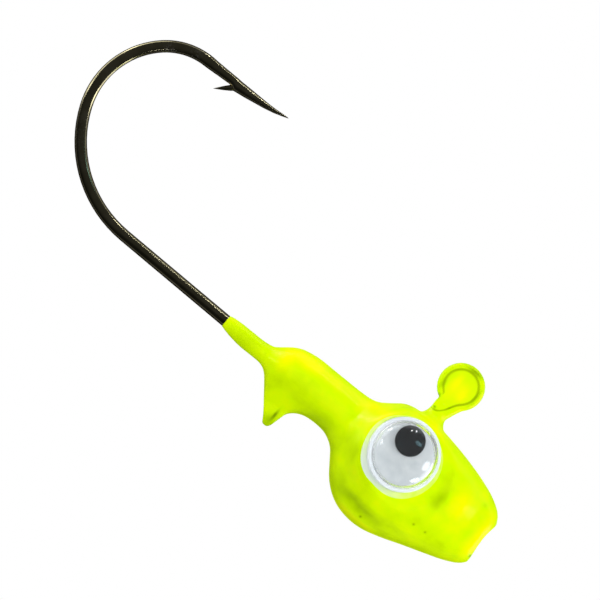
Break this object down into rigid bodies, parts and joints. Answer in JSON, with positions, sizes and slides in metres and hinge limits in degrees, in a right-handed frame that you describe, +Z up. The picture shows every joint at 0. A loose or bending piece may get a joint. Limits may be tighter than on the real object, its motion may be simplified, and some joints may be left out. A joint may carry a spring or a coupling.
{
  "type": "jig head",
  "caption": "Painted lead fishing jig head on a bent hook, with a painted-over line-tie ring, a bait collar with a keeper spur, and loose-pupil wiggle eyes",
  "frame": {"origin": "centre of the line-tie ring, which holds the part up", "axes": "+X along the hook shank towards the nose, +Z up, the side that the ring and the hook point are on, +Y across to the left side; the hook lies in the XZ plane"},
  "size_m": [0.0474, 0.012, 0.0213],
  "materials": {
    "hook_wire": "glossy bronze-black plated hook wire",
    "lead": "dull cast lead",
    "paint": "fluorescent chartreuse, glossy baked paint",
    "eye_white": "white sheet plastic",
    "eye_clear": "clear vacuum-formed plastic",
    "eye_black": "black gloss disc",
    "adhesive": "clear adhesive, slightly yellow"
  },
  "bodies": {
    "jig": {"hook": "hook_wire", "head_casting": "lead", "paint_coat": "paint", "eye_glue_right": "adhesive", "eye_back_right": "eye_white", "eye_dome_right": "eye_clear", "eye_glue_left": "adhesive", "eye_back_left": "eye_white", "eye_dome_left": "eye_clear"},
    "pupil_right": {"eye_pupil_right": "eye_black"},
    "pupil_left": {"eye_pupil_left": "eye_black"}
  },
  "joints": [
    {"name": "pupil_orbit_right", "type": "hinge", "parent": "jig", "child": "pupil_right", "pos_m": [-0.00027, -0.0031, -0.00715], "axis": [0.212, -0.9635, 0.1638], "continuous": true},
    {"name": "pupil_orbit_left", "type": "hinge", "parent": "jig", "child": "pupil_left", "pos_m": [-0.00027, 0.0031, -0.00715], "axis": [0.212, 0.9635, 0.1638], "continuous": true}
  ]
}
